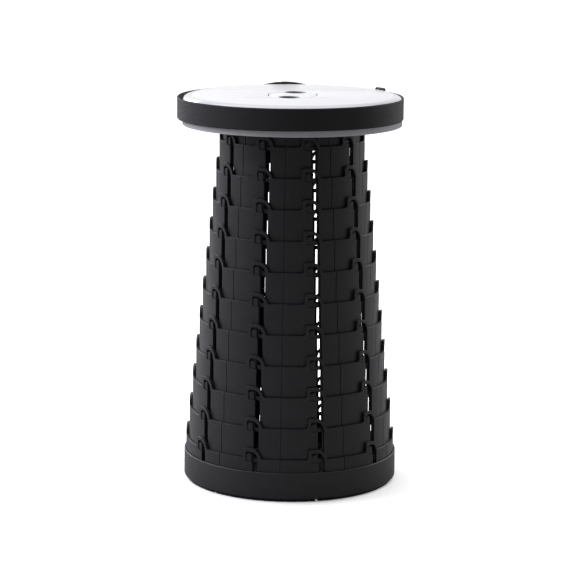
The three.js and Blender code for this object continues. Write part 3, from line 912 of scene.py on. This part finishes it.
# %% Cap and trim ring
cap_high = corners_of("seat_cap")[1]
trim_low, trim_high = corners_of("seat_trim")
panel_low, panel_high = corners_of("seat_panel")
TRIM_GAP, TRIM_THICK = 0.57, 1.5
TRIM_INSIDE = BASE_RADIUS + TRIM_GAP
SEAT_OUTSIDE = TRIM_INSIDE + TRIM_THICK
JOIN_GAP = 0.3
SKIRT_FOOT = trim_high.z + JOIN_GAP
SHOULDER_WIDTH, SHOULDER_HEIGHT = 9.8, 6
PANEL_RADIUS = SEAT_OUTSIDE - SHOULDER_WIDTH
PANEL_GAP, GRIP_GAP = 0.2, 1.2
DECK = 1.7
deck_top = panel_low.z - JOIN_GAP
deck_low = deck_top - DECK
GRIP_TURN = -7.5
GRIP_WIDTH, GRIP_LENGTH = 54.6, 84


def oval_plug(grow, low, high):
    """An upright oval block, larger than the grip by a margin all round, used to cut with."""
    outline = oval(GRIP_WIDTH + 2 * grow, GRIP_LENGTH + 2 * grow)
    mesh = sheet("oval", [outline], high - low, edge=0.02)
    mesh.transform(Matrix.Rotation(math.radians(GRIP_TURN), 4, "Z") @ Matrix.Translation((0, 0, high)))
    return mesh


def make_cap():
    start = PANEL_RADIUS + PANEL_GAP
    shoulder = quarter_ellipse(
        start, cap_high.z - SHOULDER_HEIGHT, SEAT_OUTSIDE - start, SHOULDER_HEIGHT, steps=16
    )
    profile = [
        (0, deck_low, 0), (TRIM_INSIDE, deck_low, 1.2), (TRIM_INSIDE, SKIRT_FOOT, 0.3),
        (SEAT_OUTSIDE, SKIRT_FOOT, 0.5), *shoulder, (start, deck_top, 0.2), (0, deck_top, 0),
    ]
    cap = turned("cap", rounded(profile), steps=240)
    return joined_or_cut(cap, oval_plug(GRIP_GAP, deck_low - 1, deck_top + 1), "DIFFERENCE")


cap_bosses = at_screws(boss(seat_flange_top - SEAT_FLANGE, deck_low + 0.4, deck_low))
cap = merged("cap", [make_cap(), cap_bosses])
place("seat_shell", cap, "seat", ["seat_cap"], "silver_plastic", trim_grey)
trim_profile = [
    (TRIM_INSIDE, trim_low.z, 0.3), (SEAT_OUTSIDE, trim_low.z, 0.6),
    (SEAT_OUTSIDE, trim_high.z, 0.2), (TRIM_INSIDE, trim_high.z, 0.2),
]
trim = turned("trim", rounded(trim_profile), steps=240)
place("trim_ring", trim, "seat", ["seat_trim"], "silver_plastic", trim_grey)
print("seat, mm across the skirt:", round(2 * SEAT_OUTSIDE, 1))

# %% [markdown]
# ## The white disc
# The disc is a thin plate let into the cap, level with it, so that only a fine line shows round
# it. It has a softened edge and an oval opening that the grip plate fills. A turned plate could
# be cut with the oval, but a sheet takes both outlines at once and softens both edges alike.

# %% The disc
def make_disc():
    turn = Matrix.Rotation(math.radians(GRIP_TURN), 2)
    opening = [turn @ p for p in oval(GRIP_WIDTH + 2 * GRIP_GAP, GRIP_LENGTH + 2 * GRIP_GAP)]
    outlines = [circle(PANEL_RADIUS, steps=240), opening]
    mesh = sheet("disc", outlines, panel_high.z - panel_low.z, edge=0.3, edge_steps=2)
    mesh.transform(Matrix.Translation((0, 0, panel_high.z)))
    return mesh


place("seat_disc", make_disc(), "seat", ["seat_panel"], "white_plastic", seat_white, smooth=20)
print("disc, mm across:", round(2 * PANEL_RADIUS, 1))

# %% [markdown]
# ## The finger grip
# In the middle of the seat an oval plate has two finger holes, over a cup that keeps the fingers
# clear of the rings. The plate is a sheet, because its holes then get a rounded edge with the
# rest. The cup could be a scaled round bowl, but its wall would then be uneven. So it is a skin
# over ovals that all lie at a set distance inside or outside the plate's outline.

# %% Grip plate and cup
FINGER_HOLE, FINGER_OFFSET = 12.9, 27
CUP_WALL, CUP_LIP, CUP_ROUND = 2, 2.5, 6
grip_low, grip_high = corners_of("grip_plate")
cup_low, cup_high = corners_of("grip_cup")


def make_grip():
    holes = [circle(FINGER_HOLE, 0, side * FINGER_OFFSET, 60) for side in (-1, 1)]
    outlines = [oval(GRIP_WIDTH, GRIP_LENGTH, 96), *holes]
    mesh = sheet("grip", outlines, grip_high.z - grip_low.z, edge=0.35, edge_steps=3)
    mesh.transform(Matrix.Translation((0, 0, grip_high.z)))
    return mesh


def oval_shell(name, rims):
    """A shell of oval rims, each (how far outside the grip's outline, height)."""
    rows = []
    for grow, height in rims:
        rim = oval(GRIP_WIDTH + 2 * grow, GRIP_LENGTH + 2 * grow, 96)
        rows.append([(*p, height) for p in rim])
    mesh = skinned(name, rows)
    weld(mesh)
    return mesh


def bowl_bend(wall, floor, radius, degrees):
    """The rounding between a floor and an upright wall, at some angles of its quarter circle."""
    angles = np.radians(degrees)
    return [(wall - radius * (1 - math.sin(a)), floor + radius * (1 - math.cos(a))) for a in angles]


def make_cup():
    low, floor, top = cup_low.z, cup_low.z + CUP_WALL, cup_high.z
    lip_top = deck_low - JOIN_GAP
    lip_low, lip_end = lip_top - CUP_WALL, CUP_LIP - 0.3
    outside = bowl_bend(0, low, CUP_ROUND, [0, 20, 40, 60, 75, 90])
    inside = bowl_bend(-CUP_WALL, floor, CUP_ROUND - CUP_WALL, [90, 70, 50, 30, 0])
    lip = [
        (0, lip_low), (lip_end, lip_low), (CUP_LIP, lip_low + 0.3),
        (CUP_LIP, lip_top - 0.2), (lip_end, lip_top), (0, lip_top),
    ]
    mouth = [(0, top - 0.3), (-0.3, top), (-CUP_WALL + 0.3, top), (-CUP_WALL, top - 0.3)]
    rims = [(-CUP_ROUND - 2, low), *outside, *lip, *mouth, *inside, (-CUP_ROUND - 3, floor)]
    return oval_shell("cup", rims)


place("finger_grip", make_grip(), "seat", ["grip_plate"], "white_plastic", seat_white, GRIP_TURN, smooth=20)
place("finger_cup", make_cup(), "seat", ["grip_cup"], "dark_plastic", fitting_black, GRIP_TURN)
print("finger holes, mm:", 2 * FINGER_HOLE)

# %% [markdown]
# ## The strap
# The carry strap is 25 mm webbing round the skirt. It is a thin band with selvedges, so its edges
# are a little thicker than its middle. A cloth simulation could drape it, but it lies tight on
# two sides and hangs a few millimetres off the left, which one smooth formula gives. Its mesh
# stores how far along and across each point is, for the weave.

# %% Webbing band
strap_low, strap_high = corners_of("strap_band")
STRAP_INSIDE = SEAT_OUTSIDE + 0.1
STRAP_THICK = 1.5
STRAP_OUTSIDE = STRAP_INSIDE + STRAP_THICK
STRAP_SLACK, SLACK_MIDDLE = 5.2, math.radians(-65)
STRAP_SHY, STRAP_WAVE = 0.995, 0.06
BUCKLE_ANGLE, BUCKLE_LENGTH = 184, 54
strap_middle = (strap_low.z + strap_high.z) / 2
strap_half = (strap_high.z - strap_low.z) / 2


def slack(angle):
    """How far the strap stands off the skirt: tight on the right and behind, loose on the left."""
    return STRAP_SLACK * ((1 + math.cos(angle - SLACK_MIDDLE)) / 2) ** 2


def strap_section():
    """The webbing's section as (depth, height) points, round its outside and back inside."""
    outside, inside = [], []
    for h in np.linspace(-1, 1, 25):
        selvedge = 0.16 * math.exp(-(((abs(h) - 0.9) / 0.06) ** 2))
        roll = max(0, (abs(h) - 0.95) / 0.05) ** 2
        outside.append((STRAP_THICK - 0.2 + selvedge - 0.75 * roll, h * strap_half))
        inside.append((0.45 * roll, h * strap_half))
    return outside + inside[::-1]


def make_strap():
    """The webbing from one side of the buckle round to the other, with a slight wave in it."""
    gap = (BUCKLE_LENGTH / 2 + 0.3) / STRAP_OUTSIDE
    start = math.radians(BUCKLE_ANGLE) + gap
    section = strap_section()
    rows, way = [], []
    for a in np.linspace(start, start + 2 * math.pi - 2 * gap, 361):
        inner = STRAP_INSIDE + slack(a)
        middle = strap_middle + STRAP_WAVE * math.sin(5 * a + 0.6) * math.sin(2.3 * a)
        row = []
        for depth, height in section:
            reach = inner + depth
            row.append((reach * math.sin(a), -reach * math.cos(a), middle + height * STRAP_SHY))
            way.append((a * STRAP_OUTSIDE, height, 0))
        rows.append(row)
    mesh = skinned("strap", rows)
    mesh.attributes.new("way", "FLOAT_VECTOR", "POINT").data.foreach_set("vector", np.ravel(way))
    weld(mesh)
    return mesh


place("carry_strap", make_strap(), "seat", ["strap_band"], "webbing", webbing_black, smooth=50)
print("strap, mm wide:", round(2 * strap_half, 1))

# %% [markdown]
# ## The buckle and the slider
# A side-release buckle joins the strap's ends at the back, and a slider near it holds the spare
# webbing. Both follow the curve of the seat. They could be cut from blocks, but drawn flat,
# bevelled and bent like the rings, they keep even edges. The buckle's openings end on a thin
# back plate, because the webbing runs behind them.

# %% Buckle
BUCKLE_SPLIT, BUCKLE_THICK, BUCKLE_EDGE = 6, 7, 0.8
PLUG_SMALLER, HALF_GAP = 0.5, 0.2
BACK_PLATE, BACK_SMALLER = 1.6, 0.985
LATCH_LONG, LATCH_TALL, LATCH_LOWS = 13, 4.4, (-12.6, 8.2)
BAR_SLOT, BAR_SLOT_TALL = 2.4, 21
FITTING_REACH, FITTING_BENDS = 30, 24


def fitting(outlines, facing, inner, thickness, edge=BUCKLE_EDGE):
    """A flat fitting, bent round the seat where the strap lies at one angle, in degrees."""
    inner += slack(math.radians(facing))
    mesh = sheet("fitting", outlines, thickness, edge=edge, edge_steps=3)
    with editing(mesh) as bm:
        for x in np.linspace(-FITTING_REACH, FITTING_REACH, FITTING_BENDS):
            score(bm, x)
    bent(mesh, inner + thickness)
    mesh.transform(Matrix.Translation((0, 0, strap_middle)))
    return mesh


def buckle_height(x):
    """The buckle is tallest in its middle and falls in a curve to the webbing's width."""
    return 12.8 + 3.5 * (1 - (2 * x / BUCKLE_LENGTH) ** 2)


def buckle_half(left, right, soft_left, soft_right):
    """The outline of one half of the buckle, with a corner radius for each end."""
    edge = [(x, buckle_height(x), 0) for x in np.linspace(left, right, 9)]
    edge[0], edge[-1] = (*edge[0][:2], soft_left), (*edge[-1][:2], soft_right)
    return rounded([(x, -y, r) for x, y, r in edge] + edge[::-1])


def slot_at(left, right, low, high, corner=0.8):
    return rounded([(x, y, corner) for x, y in ((left, low), (right, low), (right, high), (left, high))])


def backed(outline, slots, thickness):
    """A half of the buckle, whose openings end on a slightly smaller back plate."""
    front = fitting([outline, *slots], BUCKLE_ANGLE, STRAP_INSIDE, thickness)
    plate = [p * BACK_SMALLER for p in outline]
    back = fitting([plate], BUCKLE_ANGLE, STRAP_INSIDE, BACK_PLATE, edge=0.3)
    return merged("backed", [front, back])


def make_socket():
    """The half that takes the prongs, with a window over each and one slot for the webbing."""
    left, right = -BUCKLE_LENGTH / 2, BUCKLE_SPLIT - HALF_GAP
    latch = right - 4
    windows = [slot_at(latch - LATCH_LONG, latch, low, low + LATCH_TALL) for low in LATCH_LOWS]
    slots = [slot_at(left + 3.4, left + 6, -10, 10), *windows]
    return backed(buckle_half(left, right, 3, 0.8), slots, BUCKLE_THICK)


def make_plug():
    """The half with the prongs. The webbing is adjusted through its two slots."""
    left, right = BUCKLE_SPLIT + HALF_GAP, BUCKLE_LENGTH / 2
    tall = BAR_SLOT_TALL / 2
    slots = [slot_at(x, x + BAR_SLOT, -tall, tall) for x in (right - 12.6, right - 6.4)]
    return backed(buckle_half(left, right, 0.8, 2.5), slots, BUCKLE_THICK - PLUG_SMALLER)


place("buckle_body", make_socket(), "seat", ["buckle_socket"], "dark_plastic", fitting_black, BUCKLE_ANGLE)
place("buckle_tongue", make_plug(), "seat", ["buckle_plug"], "dark_plastic", fitting_black, BUCKLE_ANGLE)
print("buckle, mm long:", BUCKLE_LENGTH)

# %% Slider
SLIDER_ANGLE, SLIDER_LENGTH, SLIDER_TALL, SLIDER_THICK = 127, 17, 31, 3.4


def make_slider():
    """A frame with two upright slots that the webbing is threaded through."""
    half, tall = SLIDER_LENGTH / 2, SLIDER_TALL / 2
    outline = slot_at(-half, half, -tall, tall, corner=2.5)
    slots = [slot_at(x - 2.3, x + 2.3, -12.9, 12.9, corner=0.9) for x in (-4.1, 4.1)]
    return fitting([outline, *slots], SLIDER_ANGLE, STRAP_OUTSIDE + 0.2, SLIDER_THICK)


place("spare_slider", make_slider(), "seat", ["strap_slider"], "dark_plastic", fitting_black, SLIDER_ANGLE)
print("slider, mm long:", SLIDER_LENGTH)

# %% [markdown]
# ## The studio
# A pale floor runs out of sight on all sides. A gradient image could light the whole scene, but
# panels are easier to move: they hang overhead and stand to the left, right and behind. The
# room is dim in front and bright behind, so that black plastic reads as black, with bright
# edges. Seen directly it is plain white, and so is the floor away from the stool. Seen directly
# the floor also glows, more weakly near the stool, which paints a shade round the stool's foot.

# %% Floor
FLOOR_RADIUS = 200
SHADE_FADE_FROM, SHADE_FADE_TO = 0.125, 0.35


def make_floor():
    """A floor that looks pale when seen directly but throws less light on the stool."""
    bpy.ops.mesh.primitive_circle_add(vertices=96, radius=FLOOR_RADIUS, fill_type="NGON")
    floor = bpy.context.object
    floor.name = "studio_floor"
    material, tree, shader = start_material("floor_paper")
    tree.nodes.remove(shader)
    out = tree.nodes["Material Output"]
    seen = node(tree, "ShaderNodeLightPath").outputs["Is Camera Ray"]
    dim, pale = node(tree, "ShaderNodeBsdfDiffuse"), node(tree, "ShaderNodeBsdfDiffuse")
    dim.inputs["Color"].default_value = (0.33, 0.33, 0.33, 1)
    pale.inputs["Color"].default_value = (0.9, 0.9, 0.9, 1)
    where = node(tree, "ShaderNodeTexCoord")
    distance = node(tree, "ShaderNodeVectorMath", operation="LENGTH")
    tree.links.new(where.outputs["Object"], distance.inputs[0])
    glow = node(tree, "ShaderNodeEmission")
    # Painted shade: the glow is weaker near the stool, so the floor round its foot is darker.
    away = spread(tree, distance.outputs["Value"], 0.22, 0.8, SHADE_FADE_FROM, SHADE_FADE_TO)
    tree.links.new(away, glow.inputs["Strength"])
    lit = node(tree, "ShaderNodeAddShader")
    mix = node(tree, "ShaderNodeMixShader")
    joins = [
        (pale.outputs[0], lit.inputs[0]), (glow.outputs[0], lit.inputs[1]), (seen, mix.inputs[0]),
        (dim.outputs[0], mix.inputs[1]), (lit.outputs[0], mix.inputs[2]),
        (mix.outputs[0], out.inputs["Surface"]),
    ]
    for output, socket in joins:
        tree.links.new(output, socket)
    floor.data.materials.append(material)


make_floor()
print("floor, m across:", 2 * FLOOR_RADIUS)

# %% Room light
def make_room():
    """A world that is dim in front of the stool, bright behind it, and white when looked at."""
    world = bpy.data.worlds.new("studio_room")
    bpy.context.scene.world = world
    world.use_nodes = True
    tree = world.node_tree
    where = node(tree, "ShaderNodeTexCoord")
    split = node(tree, "ShaderNodeSeparateXYZ")
    tree.links.new(where.outputs["Generated"], split.inputs["Vector"])
    ramp = node(tree, "ShaderNodeValToRGB")
    back_to_front = spread(tree, split.outputs["Y"], 0, 1, -1, 1)
    tree.links.new(back_to_front, ramp.inputs["Fac"])
    dim, bright = ramp.color_ramp.elements
    dim.position, dim.color = 0.25, (0.12, 0.12, 0.12, 1)
    bright.position, bright.color = 0.85, (0.9, 0.9, 0.92, 1)
    seen = node(tree, "ShaderNodeLightPath").outputs["Is Camera Ray"]
    colour = blend_colours(tree, seen, ramp.outputs["Color"], (1.0, 1.0, 1.0))
    tree.links.new(colour, tree.nodes["Background"].inputs["Color"])


make_room()

# %% Soft panels
def panel_light(name, at, look, size, power, tint=(1, 1, 1)):
    """A rectangular light at one point, turned to look at another."""
    light = bpy.data.lights.new(name, "AREA")
    light.shape = "RECTANGLE"
    light.size, light.size_y = size
    light.energy = power
    light.color = tint
    lamp = object_from(name, light)
    lamp.location = at
    lamp.rotation_euler = (Vector(look) - Vector(at)).to_track_quat("-Z", "Y").to_euler()


panel_light("overhead", (0, 0.3, 2.6), (0, 0, 0), (3.0, 3.0), 50)
panel_light("left_panel", (-1.5, 0.0, 1.15), (0, 0, 0.2), (1.2, 1.1), 28, (0.88, 0.88, 1.0))
panel_light("left_back_panel", (-1.2, 1.6, 0.95), (0, 0, 0.2), (1.2, 1.0), 20, (0.94, 0.95, 1.0))
panel_light("right_panel", (1.4, 1.1, 0.9), (0, 0, 0.2), (0.7, 1.0), 12)
print("lights:", [light.name for light in bpy.data.lights])

# %% [markdown]
# ## The camera
# A wide lens close by would bend the stool's sides. So the camera stands well back with a long
# lens, a little above the seat, and is tilted down by eleven degrees.

# %% Camera
CAMERA_AT = (-0.001694, -2.64983, 0.73247)
CAMERA_DOWN, CAMERA_ROLL = math.radians(10.8817), math.radians(0.4823)


def make_camera():
    data = bpy.data.cameras.new("camera")
    data.lens = 143.03
    data.sensor_width = 36
    data.clip_start, data.clip_end = 0.05, 100
    camera = object_from("camera", data)
    aim = Matrix.Rotation(math.pi / 2 - CAMERA_DOWN, 4, "X") @ Matrix.Rotation(CAMERA_ROLL, 4, "Z")
    camera.matrix_world = Matrix.Translation(CAMERA_AT) @ aim
    bpy.context.scene.camera = camera


make_camera()
print("camera, m from the stool:", round(Vector(CAMERA_AT[:2]).length, 2))
bpy.context.scene.view_settings.view_transform = "Standard"
